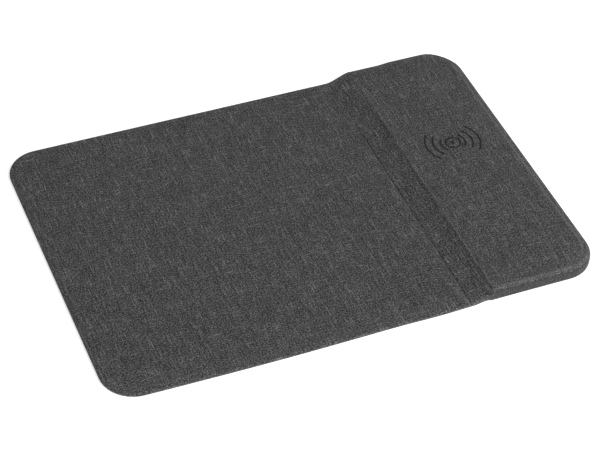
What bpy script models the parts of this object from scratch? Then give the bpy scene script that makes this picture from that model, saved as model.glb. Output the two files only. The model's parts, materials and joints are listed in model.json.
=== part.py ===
"""Fabric desk mat with a wireless phone charger built into its right end.

A thin fabric-covered mat joins, along one pressed crease, a ramp and a raised charger case. The crease is a
live hinge: the charger end folds up about it. Metres, +Z up. The origin is the middle of the underside,
+X runs along the width towards the charger, and +Y runs to the back, where the power socket is.
"""

import math

import bmesh
import bpy
from mathutils import Matrix

MM = 0.001

# Overall sizes
WIDTH = 300 * MM
DEPTH = 210.5 * MM
CORNER_R = 20 * MM
MAT_T = 3.0 * MM
CHARGER_T = 9.0 * MM
CHARGER_W = 70 * MM
RAMP_W = 14.5 * MM
RAMP_TOP = 7.4 * MM
CREASE_W = 0.8 * MM

# Layers, and the clearance between pieces that lie on each other
GAP = 0.3 * MM
COVER_T = 0.6 * MM
BASE_T = 0.6 * MM
CUSHION_T = 0.5 * MM
CASE_T = 1.0 * MM
BASE_INSET = 1.5 * MM
HEM_LIFT = 0.3 * MM
MAT_EDGE_R = 0.9 * MM
TOP_EDGE_R = 2.5 * MM

# Case screws, their bosses in the lower case and their pillars in the upper case
SCREW_R = 0.95 * MM
SCREW_HEAD_R = 1.9 * MM
SCREW_HEAD_H = 0.8 * MM
SCREW_RECESS = 0.1 * MM
SCREW_TIP_R = 0.55 * MM
SCREW_TIP_L = 1.0 * MM
SCREW_BITE = 2.1 * MM
BOSS_R = 3.2 * MM
BOSS_H = 1.5 * MM
PILLAR_R = 2.6 * MM
SCREW_FROM_STEP = 6 * MM
SCREW_FROM_EDGE = 9 * MM
SCREW_FROM_ENDS = 11 * MM

# Charging coil, under the pictogram
COIL_FROM_EDGE = 38 * MM
COIL_Y = 19.3 * MM
COIL_INNER_R = 10.5 * MM
COIL_OUTER_R = 22 * MM
COIL_TURNS = 8.75
COIL_WIRE_R = 0.45 * MM
COIL_TO_ROOF = 0.4 * MM
FERRITE_MARGIN = 2.0 * MM
FERRITE_T = 0.8 * MM
TRAY_CLEARANCE = 0.4 * MM
TRAY_RIM = 1.0 * MM
LEAD_SLOT_W = 2.0 * MM
LEAD_BEND = 2.0 * MM
LEAD_PAD = 0.9 * MM
LEAD_FROM_MIDDLE = 10.5 * MM

# Circuit board and what is on it
BOARD_W = 42 * MM
BOARD_D = 34 * MM
BOARD_T = 1.0 * MM
BOARD_TO_WALL = 3.0 * MM
BOARD_FROM_SOCKET = 2.0 * MM
BOARD_SCREW_INSET = 5.5 * MM
PART_SPACING = 1.0 * MM
TRANSISTOR_SPACING = 1.6 * MM
CHIP = (6.0 * MM, 6.0 * MM, 0.9 * MM)
TRANSISTOR = (3.2 * MM, 3.2 * MM, 0.9 * MM)
TRANSISTOR_COUNT = 4
TRANSISTOR_FROM_EDGE = 11 * MM
CAPACITOR = (3.2 * MM, 2.5 * MM, 1.9 * MM)
CAPACITOR_COUNT = 4
CAPACITOR_FROM_SIDE = 3.2 * MM
INPUT_CAPACITOR_COUNT = 2
INPUT_CAPACITOR_FROM_MIDDLE = 6 * MM
INPUT_CAPACITOR_FROM_EDGE = 5 * MM
INDUCTOR = (6.2 * MM, 6.2 * MM, 1.9 * MM)
INDUCTOR_FROM_SIDE = 6.2 * MM
BEHIND_MIDDLE = 3.2 * MM
LED = (1.6 * MM, 0.8 * MM, 0.7 * MM)
LED_FROM_EDGE = 0.8 * MM

# Power socket in the back wall, and the bezel round its mouth
SOCKET_FROM_EDGE = 33 * MM
SOCKET_W = 8.94 * MM
SOCKET_H = 3.16 * MM
SOCKET_D = 7.3 * MM
SOCKET_Z = 4.1 * MM
SOCKET_ROUNDNESS = 0.9
PARTING_ABOVE_SOCKET = 0.35 * MM
SOCKET_WALL = 0.3 * MM
SOCKET_SETBACK = 0.1 * MM
TONGUE_H = 0.7 * MM
TONGUE_ROOT = 1.5 * MM
TONGUE_SETBACK = 0.8 * MM
BEZEL_RIM_W = 2.0 * MM
BEZEL_RIM_H = 1.1 * MM
BEZEL_CORNER_R = 1.2 * MM
LIGHT_PIPE_R = 0.9 * MM
LIGHT_FROM_SOCKET = 15 * MM

# Facets
CORNER_STEPS = 8
EDGE_STEPS = 3
DISC_STEPS = 40
SMALL_STEPS = 14
COIL_STEPS = 24
SHARP_DEG = 35
FLAT_DEG = 0.5
WELD = 0.001 * MM

# Places that follow from the sizes above
LEFT = -WIDTH / 2
RIGHT = WIDTH / 2
BACK = DEPTH / 2
STEP_X = RIGHT - CHARGER_W
CREASE_X = STEP_X - RAMP_W
MAT_END = CREASE_X - CREASE_W / 2
RAMP_START = CREASE_X + CREASE_W / 2
RAMP_END = STEP_X - GAP
LAYER_INSET = COVER_T + GAP

CASE_Z0 = BASE_T + GAP
CASE_FLOOR = CASE_Z0 + CASE_T
CASE_TOP = CHARGER_T - COVER_T - GAP - CUSHION_T - GAP
CASE_ROOF = CASE_TOP - CASE_T
PARTING_Z = SOCKET_Z + PARTING_ABOVE_SOCKET
CASE_EDGE_R = TOP_EDGE_R - LAYER_INSET
CASE_X0 = STEP_X + LAYER_INSET
CASE_X1 = RIGHT - LAYER_INSET
CASE_Y = BACK - LAYER_INSET
CASE_CORNER_R = CORNER_R - LAYER_INSET
BOSS_TOP = CASE_FLOOR + BOSS_H

COIL_X = RIGHT - COIL_FROM_EDGE
FERRITE_R = COIL_OUTER_R + FERRITE_MARGIN
TRAY_R = FERRITE_R + TRAY_CLEARANCE + TRAY_RIM
COIL_Z = CASE_ROOF - COIL_TO_ROOF - COIL_WIRE_R
FERRITE_Z0 = COIL_Z - COIL_WIRE_R - GAP - FERRITE_T
LEAD_Z = FERRITE_Z0 + COIL_WIRE_R
TRAY_Z0 = CASE_FLOOR + GAP
TRAY_Z1 = FERRITE_Z0 - GAP

SOCKET_X = RIGHT - SOCKET_FROM_EDGE
SOCKET_MOUTH = BACK - SOCKET_SETBACK
SOCKET_REAR = SOCKET_MOUTH - SOCKET_D
TONGUE_W = SOCKET_W - SOCKET_ROUNDNESS * SOCKET_H
LIGHT_X = SOCKET_X - LIGHT_FROM_SOCKET
BOARD_X = SOCKET_X - BOARD_FROM_SOCKET
BOARD_Y1 = CASE_Y - CASE_T - BOARD_TO_WALL
BOARD_Y0 = BOARD_Y1 - BOARD_D
BOARD_Z0 = CASE_FLOOR + GAP
PARTS_Z0 = BOARD_Z0 + BOARD_T + GAP

FABRIC = ((0.075, 0.076, 0.078), 0.95, 0.0)
FOAM = ((0.10, 0.10, 0.10), 0.95, 0.0)
RUBBER = ((0.02, 0.02, 0.02), 0.85, 0.0)
BLACK_PLASTIC = ((0.03, 0.03, 0.03), 0.5, 0.0)
CLEAR_PLASTIC = ((0.85, 0.88, 0.9), 0.1, 0.0)
BOARD_GREEN = ((0.02, 0.12, 0.05), 0.45, 0.0)
EPOXY = ((0.015, 0.015, 0.015), 0.4, 0.0)
CERAMIC = ((0.35, 0.22, 0.12), 0.4, 0.0)
FERRITE_GREY = ((0.08, 0.08, 0.085), 0.6, 0.0)
COPPER = ((0.72, 0.28, 0.12), 0.3, 1.0)
STEEL = ((0.6, 0.6, 0.62), 0.3, 1.0)


def clear_scene():
    for obj in list(bpy.data.objects):
        bpy.data.objects.remove(obj, do_unlink=True)


def new_collection(name):
    collection = bpy.data.collections.new(name)
    bpy.context.scene.collection.children.link(collection)
    return collection


def add_object(name, mesh):
    """A mesh as a new object in the parts collection."""
    obj = bpy.data.objects.new(name, mesh)
    parts.objects.link(obj)
    return obj


def as_cutter(obj):
    parts.objects.unlink(obj)
    cutters.objects.link(obj)
    obj.hide_render = True
    obj.display_type = "WIRE"
    return obj


def combine(target, tool, operation):
    """Cuts tool out of target, or joins it on, with a modifier that stays on the target."""
    modifier = target.modifiers.new(tool.name, "BOOLEAN")
    modifier.operation = operation
    modifier.solver = "EXACT"
    modifier.object = as_cutter(tool)


def finish(obj, look):
    """Gives a piece its own material and smooth shading between its sharp edges."""
    colour, roughness, metallic = look
    material = bpy.data.materials.new(obj.name)
    material.use_nodes = True
    shader = material.node_tree.nodes["Principled BSDF"]
    shader.inputs["Base Color"].default_value = (*colour, 1.0)
    shader.inputs["Roughness"].default_value = roughness
    shader.inputs["Metallic"].default_value = metallic
    obj.data.materials.append(material)
    obj.data.shade_smooth()
    obj.data.set_sharp_from_angle(angle=math.radians(SHARP_DEG))
    return obj


def corner_arc(x, y, radius, start):
    """Points of a quarter circle about (x, y), from the angle start in degrees, anticlockwise."""
    if radius <= 0:
        return [(x, y)]
    angles = [math.radians(start + 90 * i / CORNER_STEPS) for i in range(CORNER_STEPS + 1)]
    return [(x + radius * math.cos(a), y + radius * math.sin(a)) for a in angles]


def rounded_rectangle(x0, x1, y0, y1, left_r, right_r):
    """An anticlockwise outline whose two left and two right corners have their own radii."""
    return (
        corner_arc(x1 - right_r, y1 - right_r, right_r, 0)
        + corner_arc(x0 + left_r, y1 - left_r, left_r, 90)
        + corner_arc(x0 + left_r, y0 + left_r, left_r, 180)
        + corner_arc(x1 - right_r, y0 + right_r, right_r, 270)
    )


def mesh_of_curve(obj):
    """Turns a curve object into a mesh object of the same name, with its caps welded on."""
    name = obj.name
    bpy.context.view_layer.update()
    evaluated = obj.evaluated_get(bpy.context.evaluated_depsgraph_get())
    mesh = bpy.data.meshes.new_from_object(evaluated)
    mesh.transform(obj.matrix_world)
    bpy.data.objects.remove(obj, do_unlink=True)
    work = bmesh.new()
    work.from_mesh(mesh)
    bmesh.ops.remove_doubles(work, verts=work.verts, dist=WELD)
    bmesh.ops.recalc_face_normals(work, faces=work.faces)
    work.to_mesh(mesh)
    work.free()
    return add_object(name, mesh)


def prism(name, points, low, high, turn=None):
    """A flat outline given a thickness from low to high along its normal, turned into place."""
    curve = bpy.data.curves.new(name, "CURVE")
    curve.dimensions = "2D"
    curve.fill_mode = "BOTH"
    curve.extrude = (high - low) / 2
    spline = curve.splines.new("POLY")
    spline.points.add(len(points) - 1)
    for point, (x, y) in zip(spline.points, points):
        point.co = (x, y, 0, 1)
    spline.use_cyclic_u = True
    obj = add_object(name, curve)
    obj.matrix_world = (turn or Matrix.Identity(4)) @ Matrix.Translation((0, 0, (low + high) / 2))
    return mesh_of_curve(obj)


def plate(name, x0, x1, y0, y1, z0, z1, left_r=0.0, right_r=0.0):
    return prism(name, rounded_rectangle(x0, x1, y0, y1, left_r, right_r), z0, z1)


def side_bar(name, points, y0, y1):
    """An outline in X and Z, run along Y."""
    return prism(name, points, -y1, -y0, Matrix.Rotation(math.radians(90), 4, "X"))


def end_bar(name, points, x0, x1):
    """An outline in Y and Z, run along X."""
    turn = Matrix.Rotation(math.radians(90), 4, "Z") @ Matrix.Rotation(math.radians(90), 4, "X")
    return prism(name, points, x0, x1, turn)


def round_rim(obj, z, radius):
    """Rounds the edges of a prism that lie at height z."""
    work = bmesh.new()
    work.from_mesh(obj.data)
    bmesh.ops.dissolve_limit(
        work, angle_limit=math.radians(FLAT_DEG), verts=work.verts, edges=work.edges, delimit=set()
    )
    rim = [e for e in work.edges if all(abs(v.co.z - z) < WELD for v in e.verts)]
    rim = [e for e in rim if len({round(f.normal.z, 2) for f in e.link_faces}) > 1]
    bmesh.ops.bevel(
        work, geom=rim, offset=radius, segments=EDGE_STEPS, profile=0.5, affect="EDGES", clamp_overlap=True
    )
    work.to_mesh(obj.data)
    work.free()


def box(name, centre, size):
    """A box by the middle of its underside."""
    work = bmesh.new()
    place = Matrix.Translation((centre[0], centre[1], centre[2] + size[2] / 2))
    bmesh.ops.create_cube(work, size=1.0, matrix=place @ Matrix.Diagonal((*size, 1.0)))
    mesh = bpy.data.meshes.new(name)
    work.to_mesh(mesh)
    work.free()
    return add_object(name, mesh)


def post(name, x, y, z0, z1, radius, steps=SMALL_STEPS):
    work = bmesh.new()
    bmesh.ops.create_cone(
        work,
        cap_ends=True,
        segments=steps,
        radius1=radius,
        radius2=radius,
        depth=z1 - z0,
        matrix=Matrix.Translation((x, y, (z0 + z1) / 2)),
    )
    mesh = bpy.data.meshes.new(name)
    work.to_mesh(mesh)
    work.free()
    return add_object(name, mesh)


def turned(name, x, y, profile, steps):
    """A profile of (radius, height) points, outer side downwards, spun about the vertical through (x, y)."""
    mesh = bpy.data.meshes.new(name)
    mesh.from_pydata([(r, 0, z) for r, z in profile], [(i, i + 1) for i in range(len(profile) - 1)], [])
    obj = add_object(name, mesh)
    obj.location = (x, y, 0)
    screw = obj.modifiers.new("Turn", "SCREW")
    screw.steps = steps
    screw.render_steps = steps
    screw.use_merge_vertices = True
    screw.merge_threshold = WELD
    screw.use_smooth_shade = True
    return obj


def ramp_height(x):
    """Height of the ramp's outer face at x."""
    return MAT_T + (RAMP_TOP - MAT_T) * (x - RAMP_START) / (RAMP_END - RAMP_START)


def ramp_profile(inset, x0, x1, z0):
    """The ramp's outline in X and Z, its sloping face lowered by inset."""
    return [(x0, z0), (x1, z0), (x1, ramp_height(x1) - inset), (x0, ramp_height(x0) - inset)]


def screw_places():
    """Where the case screws stand: two columns of three, and two that also hold the board."""
    left = STEP_X + SCREW_FROM_STEP
    right = RIGHT - SCREW_FROM_EDGE
    rows = (BACK - SCREW_FROM_ENDS, COIL_Y - COIL_OUTER_R, -BACK + SCREW_FROM_ENDS)
    board_y = BOARD_Y0 + BOARD_SCREW_INSET
    board = [(BOARD_X + side * (BOARD_W / 2 - BOARD_SCREW_INSET), board_y) for side in (-1, 1)]
    return [(x, y) for x in (left, right) for y in rows] + board


def socket_outline(grow):
    """The socket's rounded mouth in X and Z, with its edge moved out by grow."""
    half_w = SOCKET_W / 2 + grow
    half_h = SOCKET_H / 2 + grow
    radius = half_h * SOCKET_ROUNDNESS
    return rounded_rectangle(
        SOCKET_X - half_w, SOCKET_X + half_w, SOCKET_Z - half_h, SOCKET_Z + half_h, radius, radius
    )


def bezel_outline(grow):
    half_w = SOCKET_W / 2 + GAP + BEZEL_RIM_W + grow
    half_h = SOCKET_H / 2 + GAP + BEZEL_RIM_H + grow
    radius = BEZEL_CORNER_R + grow
    return rounded_rectangle(
        SOCKET_X - half_w, SOCKET_X + half_w, SOCKET_Z - half_h, SOCKET_Z + half_h, radius, radius
    )


def light_outline(radius):
    """A circle in X and Z where the indicator shows in the back wall."""
    angles = [2 * math.pi * i / SMALL_STEPS for i in range(SMALL_STEPS)]
    return [(LIGHT_X + radius * math.cos(a), SOCKET_Z + radius * math.sin(a)) for a in angles]


def make_mat():
    """The mat: cover, foam core and non-slip base."""
    cover = plate("mat_cover", LEFT, MAT_END, -BACK, BACK, HEM_LIFT, MAT_T, left_r=CORNER_R)
    round_rim(cover, MAT_T, MAT_EDGE_R)
    inside = plate(
        "mat_cover_inside",
        LEFT + COVER_T,
        MAT_END + COVER_T,
        -BACK + COVER_T,
        BACK - COVER_T,
        -COVER_T,
        MAT_T - COVER_T,
        left_r=CORNER_R - COVER_T,
    )
    combine(cover, inside, "DIFFERENCE")
    finish(cover, FABRIC)

    core = plate(
        "mat_core",
        LEFT + LAYER_INSET,
        MAT_END - GAP,
        -BACK + LAYER_INSET,
        BACK - LAYER_INSET,
        BASE_T + GAP,
        MAT_T - LAYER_INSET,
        left_r=CORNER_R - LAYER_INSET,
    )
    finish(core, FOAM)

    base = plate(
        "mat_base",
        LEFT + BASE_INSET,
        MAT_END,
        -BACK + BASE_INSET,
        BACK - BASE_INSET,
        0.0,
        BASE_T,
        left_r=CORNER_R - BASE_INSET,
    )
    finish(base, RUBBER)


def make_ramp():
    """The ramp from the crease up to the charger: a foam wedge under its strip of cover."""
    cover = side_bar("ramp_cover", ramp_profile(0.0, RAMP_START, RAMP_END, HEM_LIFT), -BACK, BACK)
    inside = side_bar(
        "ramp_cover_inside",
        ramp_profile(COVER_T, RAMP_START - COVER_T, RAMP_END + COVER_T, -COVER_T),
        -BACK + COVER_T,
        BACK - COVER_T,
    )
    combine(cover, inside, "DIFFERENCE")
    finish(cover, FABRIC)

    wedge = side_bar(
        "ramp_wedge",
        ramp_profile(LAYER_INSET, RAMP_START + GAP, RAMP_END - GAP, BASE_T + GAP),
        -BACK + LAYER_INSET,
        BACK - LAYER_INSET,
    )
    finish(wedge, FOAM)


def make_charger_skin():
    """What wraps the case: its cover, the thin cushion under it and the non-slip base."""
    cover = plate("charger_cover", STEP_X, RIGHT, -BACK, BACK, HEM_LIFT, CHARGER_T, right_r=CORNER_R)
    round_rim(cover, CHARGER_T, TOP_EDGE_R)
    inside = plate(
        "charger_cover_inside",
        STEP_X + COVER_T,
        RIGHT - COVER_T,
        -BACK + COVER_T,
        BACK - COVER_T,
        -COVER_T,
        CHARGER_T - COVER_T,
        right_r=CORNER_R - COVER_T,
    )
    round_rim(inside, CHARGER_T - COVER_T, TOP_EDGE_R - COVER_T)
    combine(cover, inside, "DIFFERENCE")
    over_base = plate(
        "over_base",
        STEP_X - GAP,
        STEP_X + LAYER_INSET,
        -BACK + BASE_INSET - GAP,
        BACK - BASE_INSET + GAP,
        -COVER_T,
        BASE_T + GAP,
    )
    combine(cover, over_base, "DIFFERENCE")
    combine(cover, side_bar("bezel_hole", bezel_outline(GAP), BACK - TOP_EDGE_R, BACK + CASE_T), "DIFFERENCE")
    light = side_bar("light_hole", light_outline(LIGHT_PIPE_R + GAP), BACK - TOP_EDGE_R, BACK + CASE_T)
    combine(cover, light, "DIFFERENCE")
    finish(cover, FABRIC)

    cushion = plate(
        "cushion_sheet",
        STEP_X + TOP_EDGE_R,
        RIGHT - TOP_EDGE_R,
        -BACK + TOP_EDGE_R,
        BACK - TOP_EDGE_R,
        CASE_TOP + GAP,
        CASE_TOP + GAP + CUSHION_T,
        right_r=CORNER_R - TOP_EDGE_R,
    )
    finish(cushion, FOAM)

    base = plate(
        "charger_base",
        RAMP_START,
        RIGHT - BASE_INSET,
        -BACK + BASE_INSET,
        BACK - BASE_INSET,
        0.0,
        BASE_T,
        right_r=CORNER_R - BASE_INSET,
    )
    finish(base, RUBBER)


def case_block(name, inset, z0, z1):
    """The case's outline, moved in by inset, between two heights."""
    return plate(
        name,
        CASE_X0 + inset,
        CASE_X1 - inset,
        -CASE_Y + inset,
        CASE_Y - inset,
        z0,
        z1,
        right_r=CASE_CORNER_R - inset,
    )


def cut_back_wall(case):
    """Opens a case half for the socket and the light pipe."""
    y0 = CASE_Y - CASE_T - GAP
    y1 = CASE_Y + GAP
    combine(case, side_bar(case.name + "_socket_hole", socket_outline(GAP), y0, y1), "DIFFERENCE")
    hole = light_outline(LIGHT_PIPE_R + GAP)
    combine(case, side_bar(case.name + "_light_hole", hole, y0, y1), "DIFFERENCE")


def make_upper_case():
    case = case_block("upper_case", 0.0, PARTING_Z + GAP / 2, CASE_TOP)
    round_rim(case, CASE_TOP, CASE_EDGE_R)
    combine(case, case_block("upper_case_inside", CASE_T, PARTING_Z - CASE_T, CASE_ROOF), "DIFFERENCE")
    for i, (x, y) in enumerate(screw_places()):
        pillar = post(f"pillar_{i}", x, y, BOSS_TOP + GAP, CASE_ROOF + CASE_T / 2, PILLAR_R)
        combine(case, pillar, "UNION")
        combine(case, post(f"pilot_{i}", x, y, BOSS_TOP, BOSS_TOP + GAP + SCREW_BITE, SCREW_R + GAP), "DIFFERENCE")
    cut_back_wall(case)
    finish(case, BLACK_PLASTIC)


def make_lower_case():
    case = case_block("lower_case", 0.0, CASE_Z0, PARTING_Z - GAP / 2)
    combine(case, case_block("lower_case_inside", CASE_T, CASE_FLOOR, PARTING_Z + CASE_T), "DIFFERENCE")
    head_top = CASE_Z0 + SCREW_RECESS + SCREW_HEAD_H + GAP
    for i, (x, y) in enumerate(screw_places()):
        combine(case, post(f"boss_{i}", x, y, CASE_Z0 + CASE_T / 2, BOSS_TOP, BOSS_R), "UNION")
        combine(case, post(f"head_hole_{i}", x, y, 0.0, head_top, SCREW_HEAD_R + GAP), "DIFFERENCE")
        combine(case, post(f"shank_hole_{i}", x, y, 0.0, BOSS_TOP + CASE_T, SCREW_R + GAP), "DIFFERENCE")
    cut_back_wall(case)
    finish(case, BLACK_PLASTIC)


def make_screws():
    """Self-tapping screws from below, each through a boss and up into a pillar."""
    head_z0 = CASE_Z0 + SCREW_RECESS
    head_z1 = head_z0 + SCREW_HEAD_H
    tip = BOSS_TOP + SCREW_BITE
    profile = [
        (0, tip),
        (SCREW_TIP_R, tip),
        (SCREW_R, tip - SCREW_TIP_L),
        (SCREW_R, head_z1),
        (SCREW_HEAD_R, head_z1),
        (SCREW_HEAD_R, head_z0),
        (0, head_z0),
    ]
    for i, (x, y) in enumerate(screw_places(), start=1):
        finish(turned(f"case_screw_{i}", x, y, profile, SMALL_STEPS), STEEL)


def make_coil_stack():
    """Tray, ferrite and the wound coil, whose inner end leaves through a slot."""
    rim_z = FERRITE_Z0 + FERRITE_T / 2
    tray_profile = [
        (0, TRAY_Z1),
        (TRAY_R - TRAY_RIM, TRAY_Z1),
        (TRAY_R - TRAY_RIM, rim_z),
        (TRAY_R, rim_z),
        (TRAY_R, TRAY_Z0),
        (0, TRAY_Z0),
    ]
    tray = turned("coil_tray", COIL_X, COIL_Y, tray_profile, DISC_STEPS)
    slot_y0 = COIL_Y + COIL_INNER_R - LEAD_SLOT_W
    slot_y1 = COIL_Y + TRAY_R + LEAD_SLOT_W
    slot = box(
        "lead_slot",
        (COIL_X, (slot_y0 + slot_y1) / 2, TRAY_Z1 + GAP / 2),
        (LEAD_SLOT_W, slot_y1 - slot_y0, FERRITE_T + COIL_WIRE_R),
    )
    combine(tray, slot, "DIFFERENCE")
    finish(tray, BLACK_PLASTIC)

    ferrite = post("ferrite_plate", COIL_X, COIL_Y, FERRITE_Z0, FERRITE_Z0 + FERRITE_T, FERRITE_R, DISC_STEPS)
    modifier = ferrite.modifiers.new("Slot", "BOOLEAN")
    modifier.solver = "EXACT"
    modifier.object = slot
    finish(ferrite, FERRITE_GREY)

    make_coil()


def coil_route():
    """The wire's centreline: in from the board, up into the spiral, round it and back to the board."""
    pad_y = BOARD_Y0 + LEAD_PAD
    pad_z = PARTS_Z0 + COIL_WIRE_R
    route = [
        (COIL_X, pad_y, pad_z),
        (COIL_X, BOARD_Y0 - LEAD_BEND, LEAD_Z),
        (COIL_X, COIL_Y + COIL_INNER_R + LEAD_SLOT_W, LEAD_Z),
        (COIL_X, COIL_Y + COIL_INNER_R - COIL_WIRE_R, LEAD_Z + COIL_WIRE_R / 2),
    ]
    count = round(COIL_TURNS * COIL_STEPS)
    for i in range(count + 1):
        angle = math.pi / 2 + 2 * math.pi * i / COIL_STEPS
        radius = COIL_INNER_R + (COIL_OUTER_R - COIL_INNER_R) * i / count
        route.append((COIL_X + radius * math.cos(angle), COIL_Y + radius * math.sin(angle), COIL_Z))
    out_x = COIL_X + COIL_OUTER_R
    pad_x = BOARD_X + LEAD_FROM_MIDDLE
    route += [
        (out_x, COIL_Y + TRAY_R, COIL_Z),
        (pad_x, BOARD_Y0 - LEAD_BEND, COIL_Z),
        (pad_x, pad_y, pad_z),
    ]
    return route


def make_coil():
    curve = bpy.data.curves.new("transmitter_coil", "CURVE")
    curve.dimensions = "3D"
    curve.bevel_depth = COIL_WIRE_R
    curve.bevel_resolution = 1
    curve.use_fill_caps = True
    route = coil_route()
    spline = curve.splines.new("POLY")
    spline.points.add(len(route) - 1)
    for point, place in zip(spline.points, route):
        point.co = (*place, 1)
    finish(mesh_of_curve(add_object("transmitter_coil", curve)), COPPER)


def make_board():
    """The circuit board, with a notch for the socket and a hole for each boss that passes through it."""
    board = plate(
        "circuit_board",
        BOARD_X - BOARD_W / 2,
        BOARD_X + BOARD_W / 2,
        BOARD_Y0,
        BOARD_Y1,
        BOARD_Z0,
        BOARD_Z0 + BOARD_T,
    )
    notch_d = BOARD_Y1 - SOCKET_REAR + GAP
    notch = box(
        "socket_notch",
        (SOCKET_X, BOARD_Y1 - notch_d / 2 + GAP, BOARD_Z0 - GAP),
        (SOCKET_W + 2 * GAP, notch_d + 2 * GAP, BOARD_T + 2 * GAP),
    )
    combine(board, notch, "DIFFERENCE")
    for i, (x, y) in enumerate(screw_places()[-2:]):
        hole = post(f"board_hole_{i}", x, y, BOARD_Z0 - GAP, BOARD_Z0 + BOARD_T + GAP, BOSS_R + GAP)
        combine(board, hole, "DIFFERENCE")
    finish(board, BOARD_GREEN)


def make_board_parts():
    """What is soldered on the board, from the coil's side to the socket's side."""
    middle_y = (BOARD_Y0 + BOARD_Y1) / 2
    finish(box("controller_chip", (SOCKET_X, middle_y, PARTS_Z0), CHIP), EPOXY)
    for i in range(TRANSISTOR_COUNT):
        x = BOARD_X + (i - (TRANSISTOR_COUNT - 1) / 2) * (TRANSISTOR[0] + TRANSISTOR_SPACING)
        place = (x, BOARD_Y0 + TRANSISTOR_FROM_EDGE, PARTS_Z0)
        finish(box(f"bridge_transistor_{i + 1}", place, TRANSISTOR), EPOXY)
    for i in range(CAPACITOR_COUNT):
        y = middle_y + BEHIND_MIDDLE + (i - (CAPACITOR_COUNT - 1) / 2) * (CAPACITOR[1] + PART_SPACING)
        place = (BOARD_X - BOARD_W / 2 + CAPACITOR_FROM_SIDE, y, PARTS_Z0)
        finish(box(f"resonant_capacitor_{i + 1}", place, CAPACITOR), CERAMIC)
    for i in range(INPUT_CAPACITOR_COUNT):
        x = BOARD_X - INPUT_CAPACITOR_FROM_MIDDLE - i * (CAPACITOR[0] + PART_SPACING)
        place = (x, BOARD_Y1 - INPUT_CAPACITOR_FROM_EDGE, PARTS_Z0)
        finish(box(f"input_capacitor_{i + 1}", place, CAPACITOR), CERAMIC)
    inductor_x = BOARD_X + BOARD_W / 2 - INDUCTOR_FROM_SIDE
    finish(box("filter_inductor", (inductor_x, middle_y + BEHIND_MIDDLE, PARTS_Z0), INDUCTOR), FERRITE_GREY)
    finish(box("status_led", (LIGHT_X, BOARD_Y1 - LED_FROM_EDGE, PARTS_Z0), LED), CLEAR_PLASTIC)


def make_socket():
    """The power socket, the bezel round its mouth and the indicator's light pipe."""
    shell = side_bar("socket_shell", socket_outline(0.0), SOCKET_REAR, SOCKET_MOUTH)
    bore = side_bar("socket_bore", socket_outline(-SOCKET_WALL), SOCKET_REAR - GAP, SOCKET_MOUTH + GAP)
    combine(shell, bore, "DIFFERENCE")
    finish(shell, STEEL)

    root_h = SOCKET_H - 2 * (SOCKET_WALL + GAP)
    root_y0 = SOCKET_REAR + GAP
    root_y1 = root_y0 + TONGUE_ROOT
    tip_y = SOCKET_MOUTH - TONGUE_SETBACK
    half_root = root_h / 2
    half_tongue = TONGUE_H / 2
    profile = [
        (root_y0, SOCKET_Z - half_root),
        (root_y1, SOCKET_Z - half_root),
        (root_y1, SOCKET_Z - half_tongue),
        (tip_y, SOCKET_Z - half_tongue),
        (tip_y, SOCKET_Z + half_tongue),
        (root_y1, SOCKET_Z + half_tongue),
        (root_y1, SOCKET_Z + half_root),
        (root_y0, SOCKET_Z + half_root),
    ]
    tongue = end_bar("socket_tongue", profile, SOCKET_X - TONGUE_W / 2, SOCKET_X + TONGUE_W / 2)
    finish(tongue, BLACK_PLASTIC)

    bezel = side_bar("port_bezel", bezel_outline(0.0), CASE_Y + GAP, BACK)
    combine(bezel, side_bar("bezel_mouth", socket_outline(GAP), CASE_Y, BACK + GAP), "DIFFERENCE")
    finish(bezel, BLACK_PLASTIC)

    pipe = side_bar("light_pipe", light_outline(LIGHT_PIPE_R), BOARD_Y1 + GAP, BACK)
    finish(pipe, CLEAR_PLASTIC)


clear_scene()
parts = new_collection("Desk mat with wireless charger")
cutters = new_collection("Cutters")

make_mat()
make_ramp()
make_charger_skin()
make_lower_case()
make_upper_case()
make_screws()
make_coil_stack()
make_board()
make_board_parts()
make_socket()
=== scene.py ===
"""Looks for a fabric desk mat with a wireless phone charger built into its right end.

One heathered fabric cover runs over the mat, the pressed crease, the ramp and the raised charger, with
foam and a non-slip base under it. The case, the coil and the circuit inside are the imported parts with
their own finishes. Metres, +Z up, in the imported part's frame.
"""

import json
import math

import bmesh
import bpy
import numpy as np
from bpy.props import FloatProperty, FloatVectorProperty, IntProperty, PointerProperty
from bpy.types import Operator, Panel, PropertyGroup
from mathutils import Matrix, Vector


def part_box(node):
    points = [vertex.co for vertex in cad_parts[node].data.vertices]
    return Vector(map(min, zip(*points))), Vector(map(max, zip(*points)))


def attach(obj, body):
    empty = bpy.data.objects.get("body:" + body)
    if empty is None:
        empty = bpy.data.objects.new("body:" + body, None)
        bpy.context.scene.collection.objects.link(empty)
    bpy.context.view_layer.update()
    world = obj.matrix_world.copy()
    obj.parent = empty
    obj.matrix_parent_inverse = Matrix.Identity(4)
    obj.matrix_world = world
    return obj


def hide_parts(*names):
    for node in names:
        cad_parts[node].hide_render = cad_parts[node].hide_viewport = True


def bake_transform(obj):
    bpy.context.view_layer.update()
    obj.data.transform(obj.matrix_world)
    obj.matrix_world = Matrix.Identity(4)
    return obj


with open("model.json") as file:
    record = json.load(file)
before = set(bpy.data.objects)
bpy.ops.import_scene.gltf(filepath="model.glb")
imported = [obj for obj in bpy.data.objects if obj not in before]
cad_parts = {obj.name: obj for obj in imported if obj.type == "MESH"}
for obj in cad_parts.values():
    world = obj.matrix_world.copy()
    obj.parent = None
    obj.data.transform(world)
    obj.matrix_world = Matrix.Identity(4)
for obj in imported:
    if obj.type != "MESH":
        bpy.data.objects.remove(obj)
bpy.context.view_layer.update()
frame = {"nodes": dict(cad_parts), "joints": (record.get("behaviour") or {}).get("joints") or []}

bl_info = {
    "name": "Charging desk mat",
    "version": (1, 0, 0),
    "blender": (4, 5, 0),
    "location": "3D View > Sidebar > Desk mat",
    "description": "Builds the visible pieces of a fabric desk mat with a wireless charger",
    "category": "Object",
}

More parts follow.
